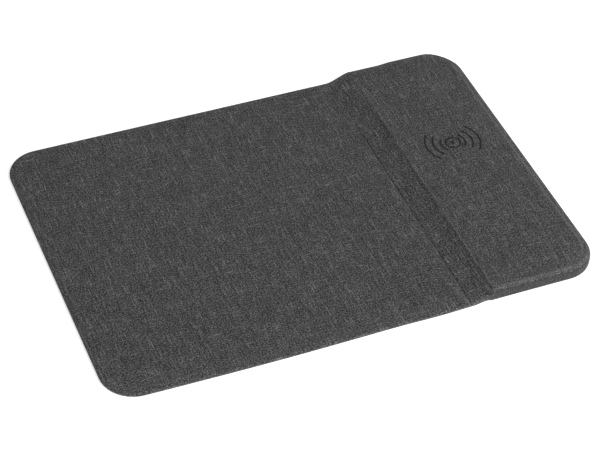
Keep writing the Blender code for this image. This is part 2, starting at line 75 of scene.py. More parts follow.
MM = 0.001

MAT_LOW, MAT_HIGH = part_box("mat_cover")
CHARGER_LOW, CHARGER_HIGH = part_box("charger_cover")
TRAY_LOW, TRAY_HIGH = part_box("coil_tray")
BEZEL_LOW, BEZEL_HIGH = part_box("port_bezel")
PIPE_LOW, PIPE_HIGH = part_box("light_pipe")

LEFT = MAT_LOW.x
RIGHT = CHARGER_HIGH.x
BACK = MAT_HIGH.y
MAT_TOP = MAT_HIGH.z
CHARGER_TOP = CHARGER_HIGH.z
STEP_LEAN = 1.0 * MM  # the stretched fabric turns up this far before the charger's case
STEP_X = CHARGER_LOW.x - STEP_LEAN
CREASE_X = frame["joints"][0]["pos_m"][0]
CORNER_R = 20 * MM
BASE_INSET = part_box("mat_base")[0].x - MAT_LOW.x
ICON = ((TRAY_LOW + TRAY_HIGH) / 2).to_2d()


def length(name, description, value, soft_max):
    """A length setting in metres."""
    return FloatProperty(
        name=name,
        description=description,
        default=value,
        min=0.0,
        soft_max=soft_max,
        unit="LENGTH",
        precision=5,
    )


def colour(name, description, value):
    """A colour setting."""
    return FloatVectorProperty(
        name=name, description=description, default=value, min=0.0, max=1.0, size=3, subtype="COLOR"
    )


class CoverSizes(PropertyGroup):
    """Shape of the fabric cover."""

    thickness: length("Thickness", "Thickness of the fabric with its backing", 0.6 * MM, 2 * MM)
    hem_z: length("Hem height", "Height of the turned-under hem above the desk", 0.12 * MM, 1 * MM)
    hem_in: length("Hem width", "How far the hem turns in under the edge", 1.3 * MM, 5 * MM)
    mat_edge: length("Mat edge radius", "Rounding of the mat's upper edge", 1.4 * MM, 3 * MM)
    mat_back: length("Mat back radius", "Rounding of the mat's upper back edge", 0.9 * MM, 3 * MM)
    mat_foot: length("Mat foot radius", "Rounding of the mat's lower edge", 0.8 * MM, 2 * MM)
    front_edge: length("Charger front radius", "Rounding of the charger's front edge", 3.0 * MM, 4 * MM)
    back_edge: length("Charger back radius", "Rounding of the charger's back edge", 0.9 * MM, 4 * MM)
    side_edge: length("Charger side radius", "Rounding of the charger's right edge", 4.6 * MM, 6 * MM)
    back_soft: length("Charger back softness", "Extra rounding at the back near the ramp", 1.3 * MM, 3 * MM)
    step_edge: length("Step radius", "Rounding of the step's upper edge", 1.1 * MM, 2 * MM)
    step_run: length("Step run", "Width over which the ramp turns up into the step", 0.8 * MM, 3 * MM)
    charger_foot: length("Charger foot radius", "Rounding of the charger's lower edge", 1.6 * MM, 3 * MM)
    rim_dip: length("Rim dip", "Depth of the pressed line inside the mat's edge", 0.36 * MM, 1 * MM)
    crease_depth: length("Crease depth", "Depth of the pressed crease", 0.55 * MM, 2 * MM)
    crease_width: length("Crease width", "Width of the pressed crease", 0.9 * MM, 3 * MM)
    ramp_end: length("Ramp end height", "Height of the ramp at the charger", 7.35 * MM, 9 * MM)
    ramp_hollow: FloatProperty(
        name="Ramp hollow", description="How much the ramp sags", default=1.35, min=1.0, max=3.0
    )
    hem_lift: length("Hem lift", "How far the ramp's front hem rises off the desk", 1.1 * MM, 3 * MM)
    front_bow: length("Front bow", "How far the mat's front edge bows out", 1.6 * MM, 5 * MM)
    crease_bow: length("Crease bow", "Bulge of the front edge left of the crease", 0.85 * MM, 3 * MM)
    highlight_width: length("Edge line width", "Width of the paler line along the pressed edges", 0.9 * MM, 3 * MM)


class IconSizes(PropertyGroup):
    """Pressed sign that shows where to put the phone."""

    depth: length("Depth", "How deep the lines are pressed", 0.45 * MM, 1 * MM)
    line: length("Line width", "Width of the pressed lines", 1.15 * MM, 3 * MM)
    soft: length("Softness", "Width over which a line's side slopes", 0.35 * MM, 1 * MM)
    dot: length("Dot radius", "Radius of the dot in the middle", 1.25 * MM, 4 * MM)
    ring: length("Ring radius", "Radius of the ring round the dot", 4.64 * MM, 10 * MM)
    wave: length("First wave", "Radius of the first wave", 7.8 * MM, 20 * MM)
    wave_step: length("Wave spacing", "Distance between waves", 4.75 * MM, 10 * MM)
    waves: IntProperty(name="Waves", description="Waves on each side", default=3, min=1, max=5)
    spread: FloatProperty(
        name="Wave spread",
        description="Half the angle that a wave covers",
        default=math.radians(40),
        subtype="ANGLE",
    )
    mesh: length("Mesh", "Spacing of the mesh under the sign", 0.34 * MM, 1 * MM)


class FabricLook(PropertyGroup):
    """Heathered weave of the cover."""

    pitch: length("Thread pitch", "Distance between threads", 0.62 * MM, 2 * MM)
    dark: colour("Dark fibre", "Colour of the dark fibres", (0.012, 0.012, 0.0125))
    light: colour("Light fibre", "Colour of the light slubs", (0.265, 0.264, 0.266))
    slub: length("Slub length", "Usual length of a slub", 11 * MM, 30 * MM)
    contrast: FloatProperty(
        name="Contrast", description="How much the threads differ in brightness", default=2.5, min=0, max=8
    )
    fleck: FloatProperty(
        name="Fleck", description="How much the fine flecks differ in brightness", default=5.2, min=0, max=8
    )
    streak: FloatProperty(
        name="Streak", description="How far the palest slubs stand out", default=0.95, min=0, max=3
    )
    roughness: FloatProperty(
        name="Roughness", description="Roughness of the fibres", default=0.9, min=0, max=1
    )
    bump: length("Thread height", "Height of the threads", 0.16 * MM, 1 * MM)


class LayerSizes(PropertyGroup):
    """Foam and base under the cover."""

    clearance: length("Clearance", "Room between the foam and the cover", 0.05 * MM, 1 * MM)
    foam_edge: length("Foam edge radius", "Rounding of the foam's edges", 0.35 * MM, 2 * MM)
    base_edge: length("Base edge radius", "Rounding of the base's edges", 0.2 * MM, 1 * MM)
    foam: colour("Foam", "Colour of the foam", (0.055, 0.055, 0.058))
    rubber: colour("Base rubber", "Colour of the non-slip base", (0.022, 0.022, 0.023))


class HardLook(PropertyGroup):
    """Finishes of the case, the circuit and the socket."""

    plastic: colour("Case plastic", "Colour of the moulded case", (0.018, 0.018, 0.019))
    clear: colour("Light pipe", "Colour of the light pipe", (0.78, 0.82, 0.84))
    steel: colour("Steel", "Colour of the plated steel", (0.60, 0.60, 0.62))
    copper: colour("Copper", "Colour of the enamelled wire", (0.56, 0.21, 0.08))
    ferrite: colour("Ferrite", "Colour of the sintered ferrite", (0.075, 0.075, 0.08))
    mask: colour("Board", "Colour of the solder mask", (0.012, 0.10, 0.04))
    epoxy: colour("Chip", "Colour of the moulded chips", (0.013, 0.013, 0.014))
    ceramic: colour("Ceramic", "Colour of the capacitors", (0.33, 0.20, 0.10))


class StageLook(PropertyGroup):
    """Floor, lights and camera."""

    floor: colour("Floor", "Colour of the floor", (0.93, 0.93, 0.93))
    glow: FloatProperty(
        name="Floor glow", description="Light that the floor gives off", default=0.6, min=0
    )
    sky: FloatProperty(
        name="Surround", description="Strength of the even light all round", default=0.41, min=0
    )
    key: FloatProperty(
        name="Key light", description="Power of the front light in watts", default=13.0, min=0
    )
    side: FloatProperty(
        name="Side light", description="Power of the right light in watts", default=3.2, min=0
    )
    distance: length("Camera distance", "Distance from the camera to its target", 1.2038, 3.0)
    target: FloatVectorProperty(
        name="Target",
        description="Place the camera looks at",
        default=(0.75 * MM, -0.5 * MM, 0),
        subtype="TRANSLATION",
    )
    azimuth: FloatProperty(
        name="Azimuth",
        description="Camera's turn about the vertical",
        default=math.radians(-23.885),
        subtype="ANGLE",
    )
    elevation: FloatProperty(
        name="Elevation", description="Camera's height angle", default=math.radians(42.927), subtype="ANGLE"
    )
    roll: FloatProperty(
        name="Roll", description="Camera's roll", default=math.radians(2.75), subtype="ANGLE"
    )
    lens: FloatProperty(name="Lens", description="Focal length in millimetres", default=121.37, min=10)
    shift_x: FloatProperty(name="Shift X", description="Sideways shift of the view", default=0.0057)
    shift_y: FloatProperty(name="Shift Y", description="Upward shift of the view", default=-0.0158)


# Meshes


def smooth(low, high, value):
    """A smooth step from 0 at low to 1 at high."""
    t = np.clip((value - low) / (high - low), 0.0, 1.0)
    return t * t * (3 - 2 * t)


def spaced(low, high, step):
    """Even places from low to high, both included, at most a step apart."""
    return np.linspace(low, high, max(1, math.ceil((high - low) / step)) + 1)


def new_object(name, mesh):
    """An object in the scene that shows the mesh."""
    obj = bpy.data.objects.new(name, mesh)
    bpy.context.scene.collection.objects.link(obj)
    return obj


def settle(obj):
    """Puts what the object's modifiers make into its mesh."""
    graph = bpy.context.evaluated_depsgraph_get()
    mesh = bpy.data.meshes.new_from_object(obj.evaluated_get(graph), depsgraph=graph)
    mesh.name = obj.name
    obj.modifiers.clear()
    obj.data = mesh
    return obj


def corner_arc(x, y, radius, start, steps=12):
    """Points on a quarter circle, from the start angle in degrees."""
    angles = [math.radians(start + 90 * i / steps) for i in range(steps + 1)]
    return [(x + radius * math.cos(a), y + radius * math.sin(a)) for a in angles]


def outline(x0, x1, y0, y1, left_r, right_r):
    """An anticlockwise outline with rounded left and right corners."""
    points = []
    for x, y, radius, start in (
        (x1 - right_r, y1 - right_r, right_r, 0),
        (x0 + left_r, y1 - left_r, left_r, 90),
        (x0 + left_r, y0 + left_r, left_r, 180),
        (x1 - right_r, y0 + right_r, right_r, 270),
    ):
        points += corner_arc(x, y, radius, start) if radius > 0 else [(x, y)]
    return points


def slab(name, points, low, high, edge=0.0):
    """A flat outline given a thickness from low to high, with its edges rounded."""
    work = bmesh.new()
    face = work.faces.new([work.verts.new((x, y, low)) for x, y in points])
    face.normal_update()
    if face.normal.z > 0:
        face.normal_flip()
    top = bmesh.ops.extrude_face_region(work, geom=[face])
    moved = [v for v in top["geom"] if isinstance(v, bmesh.types.BMVert)]
    bmesh.ops.translate(work, verts=moved, vec=(0, 0, high - low))
    bmesh.ops.recalc_face_normals(work, faces=work.faces)
    if edge:
        rims = [e for e in work.edges if abs(e.verts[0].co.z - e.verts[1].co.z) < 1e-9]
        bmesh.ops.bevel(
            work, geom=rims, offset=edge, segments=3, profile=0.5, affect="EDGES", clamp_overlap=True
        )
    mesh = bpy.data.meshes.new(name)
    work.to_mesh(mesh)
    work.free()
    mesh.shade_smooth()
    mesh.set_sharp_from_angle(angle=math.radians(40))
    return new_object(name, mesh)


def cut(obj, name, points, y0, y1):
    """Cuts an outline in X and Z out of a piece, from y0 to y1."""
    tool = slab(name, points, -y1, -y0)
    tool.data.transform(Matrix.Rotation(math.radians(90), 4, "X"))
    modifier = obj.modifiers.new(name, "BOOLEAN")
    modifier.operation = "DIFFERENCE"
    modifier.solver = "EXACT"
    modifier.object = tool
    settle(obj)
    bpy.data.objects.remove(tool, do_unlink=True)


# Shape of the cover

BORDER = 7 * MM  # width of the rim that is built as rings round the cover
CREASE_FADE = 0.40 * BACK, 0.65 * BACK  # the crease dies out between these places
# Painted highlights: the pale lines below are painted along the rounded edges where the light catches them.
FRONT_LINE, BACK_LINE, SIDE_LINE = 1.7 * MM, 1.5 * MM, 5.2 * MM  # pale lines, in from the charger's edges
MAT_LINE = 3.5 * MM  # pale line, in from the mat's edge
RIM_DIP_IN, RIM_RIDGE_IN = 2.0 * MM, 3.4 * MM  # pressed line and ridge, in from the mat's edge
UNEVEN = 0.02 * MM  # height of the glued fabric's ripples
BULGE_PLACE, BULGE_REACH = 17 * MM, 20 * MM  # the front edge's bulge, left of the crease
BOW_PAST_LEFT, BOW_EXTRA = 15 * MM, 12 * MM  # the bow starts outside the left edge and is this much longer

# Strength of the painted highlights: lines along the rounded edges, on the step's crest and beside the crease
HIGHLIGHT_FRONT, HIGHLIGHT_BACK, HIGHLIGHT_SIDE = 1.2, 0.50, 1.8
HIGHLIGHT_MAT_FRONT, HIGHLIGHT_MAT_BACK, HIGHLIGHT_MAT_SIDE = 0.22, 0.55, 0.30
HIGHLIGHT_STEP, HIGHLIGHT_CREASE = 0.60, 0.30
# Painted light: the front and the charger's right end are painted lighter, where the light falls.
PAINTED_LIGHT_FRONT, PAINTED_LIGHT_RIGHT = 0.16, 0.08

# How much painted shade darkens the crease and the charger's walls
SHADE_CREASE, SHADE_WALL = 0.3, 0.48


def sign_share(x, y, icon):
    """How far the sign is pressed in at each place, from 0 to 1."""
    dx, dy = x - ICON.x, y - ICON.y
    radius = np.hypot(dx, dy)
    angle = np.arctan2(np.abs(dy), np.abs(dx))
    away = np.minimum(np.abs(radius - icon.ring), np.maximum(radius - icon.dot + icon.line / 2, 0))
    for i in range(icon.waves):
        wave = icon.wave + i * icon.wave_step
        end_x, end_y = wave * math.cos(icon.spread), wave * math.sin(icon.spread)
        past_end = np.hypot(np.abs(dx) - end_x, np.abs(dy) - end_y)
        away = np.minimum(away, np.where(angle <= icon.spread, np.abs(radius - wave), past_end))
    return 1 - smooth(icon.line / 2 - icon.soft / 2, icon.line / 2 + icon.soft / 2, away)


def hill(place, width):
    """1 at place 0, falling to nothing over about a width on each side."""
    return np.exp(-((place / width) ** 2))


def crease_share(x, y, sizes):
    """How far the fabric is pressed in at the crease, which dies out before the back edge."""
    return hill(x - CREASE_X, sizes.crease_width / 2) * (1 - smooth(*CREASE_FADE, y))


def facing(nx, ny, back_power=2):
    """Shares by which an edge faces the front, the back and the sides."""
    return np.maximum(-ny, 0) ** 2, np.maximum(ny, 0) ** back_power, np.abs(nx) ** 2


def painted_highlight(x, y, inset, nx, ny, sizes):
    """Painted highlight: how much paler the fabric is painted along the rounded edges, on the step's crest,
    beside the crease and towards the front and the right, where the light falls.
    """
    charger = smooth(STEP_X, STEP_X + 4 * MM, x)
    front, back, side = facing(nx, ny)
    line = sizes.highlight_width
    # Painted highlight lines along the rounded edges of the charger and the mat.
    on_charger = HIGHLIGHT_FRONT * front * hill(inset - FRONT_LINE, 1.2 * line)
    on_charger += HIGHLIGHT_BACK * back * hill(inset - BACK_LINE, 3.0 * line)
    on_charger += HIGHLIGHT_SIDE * side * hill(inset - SIDE_LINE, 0.75 * line)
    on_mat = (HIGHLIGHT_MAT_FRONT * front + HIGHLIGHT_MAT_SIDE * side) * hill(inset - MAT_LINE, line)
    on_mat += HIGHLIGHT_MAT_BACK * back * hill(inset, 2.5 * line)
    rims = on_mat + (on_charger - on_mat) * charger
    # Painted highlight on the step's crest.
    step = HIGHLIGHT_STEP * hill(x - STEP_X - 0.5 * MM, 1.4 * line) * smooth(2 * MM, 6 * MM, inset)
    # Painted highlight on the ridge beside the crease.
    beside = HIGHLIGHT_CREASE * hill(x - CREASE_X + 1.7 * MM, line) * (1 - smooth(-0.1 * BACK, 0.6 * BACK, y))
    # Painted light: lighter towards the front edge and towards the charger's right end.
    painted_lit_sides = PAINTED_LIGHT_FRONT * smooth(0.78 * BACK, BACK, -y) + PAINTED_LIGHT_RIGHT * smooth(0.72 * RIGHT, 0.92 * RIGHT, x)
    return np.clip(rims + step + beside + painted_lit_sides, 0, 2)


def sign_and_painted_shade(points, sign, sizes):
    """How much darker the fabric is: in the sign's lines, and as painted shade in the crease and low on the
    charger's walls.
    """
    x, y, z = points.T
    pressed = np.zeros(len(points))
    pressed[: sign.size] = sign.reshape(-1)
    # Painted shade in the crease.
    pressed = np.maximum(pressed, SHADE_CREASE * crease_share(x, y, sizes))
    # Painted shade low on the charger's walls.
    wall = 1 - smooth(0.70 * CHARGER_TOP, 0.90 * CHARGER_TOP, z)
    by_step = smooth(STEP_X - 4 * MM, STEP_X - 1 * MM, x) * smooth(BACK - 3 * MM, BACK - 0.8 * MM, -y)
    wall *= np.maximum(smooth(STEP_X, STEP_X + 5 * MM, x), by_step) * (1 - smooth(0.6 * BACK, 0.9 * BACK, y))
    return np.maximum(pressed, SHADE_WALL * wall)


def front_shift(x, sizes):
    """How far the front edge stands out from a straight line."""
    along = np.clip((x - LEFT + BOW_PAST_LEFT) / (CREASE_X - LEFT + BOW_EXTRA), 0, 1)
    bulge = hill(x - CREASE_X + BULGE_PLACE, BULGE_REACH)
    return sizes.front_bow * np.sin(np.pi * along) ** 1.5 + sizes.crease_bow * bulge


def ripple(x, y):
    """Slight unevenness of the glued fabric, from -1 to 1."""
    a = np.sin(x * 171 + 1.3 * np.sin(y * 63 + 0.7)) * np.cos(y * 127 + 0.9 * np.sin(x * 71))
    b = np.sin(x * 89 - y * 113 + 2.1) * np.cos(x * 57 + y * 49 + 0.4)
    return (a + b) / 2


def top_height(x, y, sizes):
    """Height of the cover's outer face over the plan."""
    along = np.clip((x - CREASE_X) / (STEP_X - CREASE_X), 0, 1)
    hollow = MAT_TOP + (sizes.ramp_end - MAT_TOP) * along**sizes.ramp_hollow
    edge = sizes.step_edge
    brow = CHARGER_TOP - edge
    turn = smooth(STEP_X - sizes.step_run, STEP_X + 0.1 * MM, x)
    hollow = hollow + (brow - hollow) * turn
    tent = MAT_TOP + (CHARGER_TOP - 0.4 * edge - MAT_TOP) * smooth(CREASE_X - 2.5 * MM, STEP_X + 1.5 * MM, x)
    near_back = smooth(0.62 * BACK, 0.98 * BACK, y)
    near_front = smooth(0.80 * BACK, 0.99 * BACK, -y)
    ramp = hollow + (tent - hollow) * np.maximum(near_back, 0.35 * near_front)
    ramp += 0.05 * MM * ripple(x * 3.1, y * 2.3) * np.sin(np.pi * along)
    over = np.clip(x - STEP_X, 0, edge)
    rounded = brow + np.sqrt(np.maximum(edge**2 - (edge - over) ** 2, 0))
    tented = np.where(near_back > 0, np.minimum(ramp, CHARGER_TOP), 0)
    height = np.where(x < STEP_X, ramp, np.maximum(rounded, tented))
    height = height - sizes.crease_depth * crease_share(x, y, sizes)
    return height + UNEVEN * ripple(x, y) - UNEVEN


def edge_sizes(x, nx, ny, sizes):
    """Upper and lower edge rounding at a place on the outline, by which way it faces."""
    charger = smooth(STEP_X - 0.4 * MM, STEP_X + 0.8 * MM, x)
    front, back, _ = facing(nx, ny, back_power=6)
    side = 1 - front - back
    near_ramp = 1 - smooth(STEP_X + 19 * MM, STEP_X + 29 * MM, x)
    back_edge = sizes.back_edge + sizes.back_soft * near_ramp
    upper = sizes.front_edge * front + back_edge * back + sizes.side_edge * side
    lower = sizes.charger_foot * (front + side) + sizes.mat_foot * back
    mat_upper = sizes.mat_edge + (sizes.mat_back - sizes.mat_edge) * back
    return mat_upper + (upper - mat_upper) * charger, sizes.mat_foot + (lower - sizes.mat_foot) * charger


def rim_press(inset, x, nx, sizes):
    """The pressed line and the low ridge just inside the mat's edge."""
    share = (0.45 + 0.55 * np.maximum(-nx, 0)) * (1 - smooth(CREASE_X - 12 * MM, CREASE_X - 2 * MM, x))
    dip = -sizes.rim_dip * hill(inset - RIM_DIP_IN, 0.45 * MM)
    ridge = 0.45 * sizes.rim_dip * hill(inset - RIM_RIDGE_IN, 0.8 * MM)
    return share * (dip + ridge)


def cover_columns(sizes, icon, inner_x, inner_r):
    """Places across the width, close together where the shape changes fast."""
    reach = icon.wave + (icon.waves - 1) * icon.wave_step + icon.line
    arc = inner_r * (1 - np.cos(np.linspace(0, math.pi / 2, 11)))
    half_crease = np.array([0.22, 0.45, 0.7, 1.0, 1.5, 2.2]) * MM
    creases = CREASE_X + np.concatenate([-half_crease[::-1], [0], half_crease])
    edge = sizes.step_edge
    foot = -sizes.step_run * np.array([1.4, 1.0, 0.8, 0.6, 0.4, 0.2])
    steps = STEP_X + np.concatenate([foot, edge * np.array([0, 0.06, 0.2, 0.45, 0.7, 1.0, 1.3, 1.7, 2.2])])
    places = [
        -inner_x + arc,
        spaced(-inner_x + inner_r, CREASE_X - 2.2 * MM, 3.4 * MM),
        creases,
        spaced(CREASE_X + 2.2 * MM, STEP_X - 1.5 * sizes.step_run, 1.2 * MM),
        steps,
        spaced(STEP_X + 2.2 * edge, ICON.x - reach, 2.4 * MM),
        spaced(ICON.x - reach, ICON.x + reach, icon.mesh),
        inner_x - arc,
    ]
    places = np.unique(np.round(np.concatenate(places), 7))
    keep = np.concatenate([[True], np.diff(places) > 0.04 * MM])
    return places[keep]


def cover_rows(icon, inner_y):
    """Places across the depth, close together under the sign."""
    reach = (icon.wave + (icon.waves - 1) * icon.wave_step) * math.sin(icon.spread) + icon.line
    places = [
        spaced(-inner_y, ICON.y - reach, 3.2 * MM),
        spaced(ICON.y - reach, ICON.y + reach, icon.mesh),
        spaced(ICON.y + reach, inner_y, 3.2 * MM),
    ]
    return np.unique(np.round(np.concatenate(places), 7))


def cover_surface(sizes, icon):
    """The cover's outer face as points, weave coordinates, shares of darkening (the sign's lines and painted
    shade) and of painted highlight, and faces.
    """
    inner_x, inner_y, inner_r = RIGHT - BORDER, BACK - BORDER, CORNER_R - BORDER
    xs = cover_columns(sizes, icon, inner_x, inner_r)
    rows = cover_rows(icon, inner_y)
    past = np.clip(np.abs(xs) - (inner_x - inner_r), 0, inner_r)
    half = inner_y - inner_r + np.sqrt(inner_r**2 - past**2)
    x = np.repeat(xs[:, None], len(rows), axis=1)
    y = rows[None, :] * (half / inner_y)[:, None]
    y -= front_shift(x, sizes) * np.clip(-rows / inner_y, 0, 1)[None, :]
    sign = sign_share(x, y, icon)
    z = top_height(x, y, sizes) - icon.depth * sign
    number = np.arange(x.size).reshape(x.shape)

    out_x = np.sign(xs) * past / inner_r
    out_y = np.sqrt(1 - out_x**2)
    last, top = len(xs) - 1, len(rows) - 1
    loop = [(i, 0, out_x[i], -out_y[i]) for i in range(last + 1)]
    loop += [(last, j, 1.0, 0.0) for j in range(1, top)]
    loop += [(i, top, out_x[i], out_y[i]) for i in range(last, -1, -1)]
    loop += [(0, j, -1.0, 0.0) for j in range(top - 1, 0, -1)]
    at = np.array([(x[i, j], y[i, j]) for i, j, _, _ in loop])
    nx, ny = np.array([p[2] for p in loop]), np.array([p[3] for p in loop])
    start = np.array([number[i, j] for i, j, _, _ in loop])

    upper, lower = edge_sizes(at[:, 0], nx, ny, sizes)
    lift = smooth(CREASE_X + 2 * MM, STEP_X - 3.5 * MM, at[:, 0])
    lift *= 1 - smooth(STEP_X - 1.6 * MM, STEP_X + 0.4 * MM, at[:, 0])
    foot = sizes.hem_z + sizes.hem_lift * lift * np.maximum(-ny, 0)
    hem = sizes.hem_in + np.maximum(front_shift(at[:, 0], sizes), 0) * np.maximum(-ny, 0)

    points = [np.stack([x, y, z], axis=-1).reshape(-1, 3)]
    weave = [np.stack([x, y], axis=-1).reshape(-1, 2)]
    inside = np.full(x.shape, 2 * BORDER)
    pale = [painted_highlight(x, y, inside, 0 * x, 0 * x, sizes).reshape(-1)]
    rings = [start]
    run = np.zeros(len(loop))
    before = np.stack([at[:, 0], at[:, 1], z.reshape(-1)[start]], axis=1)

    def add_ring(inset, height):
        nonlocal run, before
        plan = at + np.stack([nx, ny], axis=1) * (BORDER - inset)[:, None]
        ring = np.stack([plan[:, 0], plan[:, 1], height], axis=1)
        run = run + np.linalg.norm(ring - before, axis=1)
        before = ring
        rings.append(np.arange(len(ring)) + sum(len(p) for p in points))
        points.append(ring)
        pale.append(painted_highlight(ring[:, 0], ring[:, 1], inset, nx, ny, sizes))
        weave.append(at + np.stack([nx, ny], axis=1) * run[:, None])

    def surface_at(inset):
        plan = at + np.stack([nx, ny], axis=1) * (BORDER - inset)[:, None]
        return top_height(plan[:, 0], plan[:, 1], sizes)

    fit = np.minimum(1, 0.92 * (surface_at(0 * upper) - foot) / (upper + lower))
    upper, lower = upper * fit, lower * fit
    for share in (0.82, 0.66, 0.52, 0.40, 0.30, 0.21, 0.13, 0.06, 0.0):
        inset = upper + (BORDER - upper) * share
        add_ring(inset, surface_at(inset) + rim_press(inset, at[:, 0], nx, sizes))
    for angle in np.radians((10, 22, 36, 52, 68, 80, 90)):
        inset = upper * (1 - math.sin(angle))
        add_ring(inset, surface_at(inset) - upper * (1 - math.cos(angle)))
    wall_top = before[:, 2]
    add_ring(0 * upper, (wall_top + foot + lower) / 2)
    for angle in np.radians((0, 25, 50, 72, 90)):
        add_ring(hem * (1 - math.cos(angle)), foot + lower * (1 - math.sin(angle)))

    faces = [
        np.stack([number[:-1, :-1], number[1:, :-1], number[1:, 1:], number[:-1, 1:]], axis=-1).reshape(-1, 4)
    ]
    for inside, outside in zip(rings, rings[1:]):
        faces.append(np.stack([inside, outside, np.roll(outside, -1), np.roll(inside, -1)], axis=1))
    points = np.concatenate(points)
    shares = {"pressed": sign_and_painted_shade(points, sign, sizes), "painted_highlight": np.concatenate(pale)}
    return points, np.concatenate(weave), shares, np.concatenate(faces)


def cover_mesh(sizes, icon):
    """The cover's outer face as a mesh with its weave coordinates and its shares of darkening (the sign's
    lines and painted shade) and of painted highlight.
    """
    points, weave, shares, faces = cover_surface(sizes, icon)
    mesh = bpy.data.meshes.new("fabric_cover")
    mesh.from_pydata(points.tolist(), [], faces.tolist())
    corners = np.empty(len(mesh.loops), np.int32)
    mesh.loops.foreach_get("vertex_index", corners)
    mesh.uv_layers.new(name="Weave").data.foreach_set("uv", weave[corners].astype(np.float32).ravel())
    for name, share in shares.items():
        mesh.attributes.new(name, "FLOAT", "POINT").data.foreach_set("value", share.astype(np.float32))
    mesh.shade_smooth()
    return mesh


# Materials

THREAD_APART = 7.31  # distance in the noise from one thread to the next
WARP_SEED, WEFT_SEED = 0.0, 31.0


def times(tint, factor):
    """A colour made brighter or darker."""
    return tuple(c * factor for c in tint)


class Nodes:
    """A material's node tree, with short calls for the nodes that the finishes share."""

    def __init__(self, name):
        self.material = bpy.data.materials.new(name)
        self.material.use_nodes = True
        self.tree = self.material.node_tree
        self.shader = self.tree.nodes["Principled BSDF"]

    def new(self, kind, **settings):
        """A node with its settings."""
        node = self.tree.nodes.new("ShaderNode" + kind)
        for key, value in settings.items():
            setattr(node, key, value)
        return node

    def link(self, source, target):
        """Feeds a socket from a number, a colour or another node."""
        if isinstance(source, (int, float)):
            target.default_value = source
        elif isinstance(source, tuple):
            target.default_value = (*source, 1.0) if len(target.default_value) == 4 else source
        else:
            self.tree.links.new(source, target)

    def math(self, operation, *values):
        """Arithmetic on numbers or sockets."""
        node = self.new("Math", operation=operation)
        for socket, value in zip(node.inputs, values):
            self.link(value, socket)
        return node.outputs[0]

    def around(self, value, weight):
        """How far a value is from one half, times a weight."""
        return self.math("MULTIPLY", self.math("SUBTRACT", value, 0.5), weight)

    def scale(self, value, low, high, to_low=0.0, to_high=1.0):
        """A value moved from one range to another, and kept inside it."""
        node = self.new("MapRange", clamp=True)
        for socket, number in zip(node.inputs[:5], (value, low, high, to_low, to_high)):
            self.link(number, socket)
        return node.outputs[0]

    def mix(self, share, first, second, kind="RGBA"):
        """Two colours, or two numbers, mixed."""
        node = self.new("Mix", data_type=kind)
        socket = {"RGBA": 6, "FLOAT": 2}[kind]
        self.link(share, node.inputs[0])
        self.link(first, node.inputs[socket])
        self.link(second, node.inputs[socket + 1])
        return node.outputs[{"RGBA": 2, "FLOAT": 0}[kind]]

    def vector(self, x, y, z=0.0):
        """A place made from three numbers or sockets."""
        node = self.new("CombineXYZ")
        for socket, value in zip(node.inputs, (x, y, z)):
            self.link(value, socket)
        return node.outputs[0]

    def noise(self, vector, scale=1.0, detail=2.0, roughness=0.5):
        """Noise from 0 to 1 at a place."""
        node = self.new("TexNoise", noise_dimensions="3D")
        self.link(vector, node.inputs["Vector"])
        node.inputs["Scale"].default_value = scale
        node.inputs["Detail"].default_value = detail
        node.inputs["Roughness"].default_value = roughness
        return node.outputs["Fac"]

    def place(self, kind="Object"):
        """Coordinates on the piece."""
        return self.new("TexCoord").outputs[kind]

    def split(self, vector):
        """The three numbers of a place."""
        node = self.new("SeparateXYZ")
        self.link(vector, node.inputs[0])
        return node.outputs

    def bump(self, height, distance, strength=1.0):
        """Fine relief that doesn't move the surface."""
        node = self.new("Bump")
        node.inputs["Strength"].default_value = strength
        node.inputs["Distance"].default_value = distance
        self.link(height, node.inputs["Height"])
        self.link(node.outputs[0], self.shader.inputs["Normal"])

    def set(self, **sockets):
        """Sets the shader's sockets; an underscore in a name stands for a space."""
        for key, value in sockets.items():
            self.link(value, self.shader.inputs[key.replace("_", " ")])
        return self.material


def thread(nodes, across, along, slub_length, seed, look):
    """One set of threads: the thread's number, its brightness here and its roundness."""
    count = nodes.math("DIVIDE", across, look.pitch)
    own = nodes.math("FLOOR", count)
    line = nodes.math("DIVIDE", along, slub_length)
    place = nodes.vector(nodes.math("MULTIPLY", own, THREAD_APART), line, seed)
    slub = nodes.noise(place, scale=1.0, detail=2.0, roughness=0.55)
    round_side = nodes.math("SINE", nodes.math("MULTIPLY", nodes.math("FRACT", count), math.pi))
    return own, slub, round_side


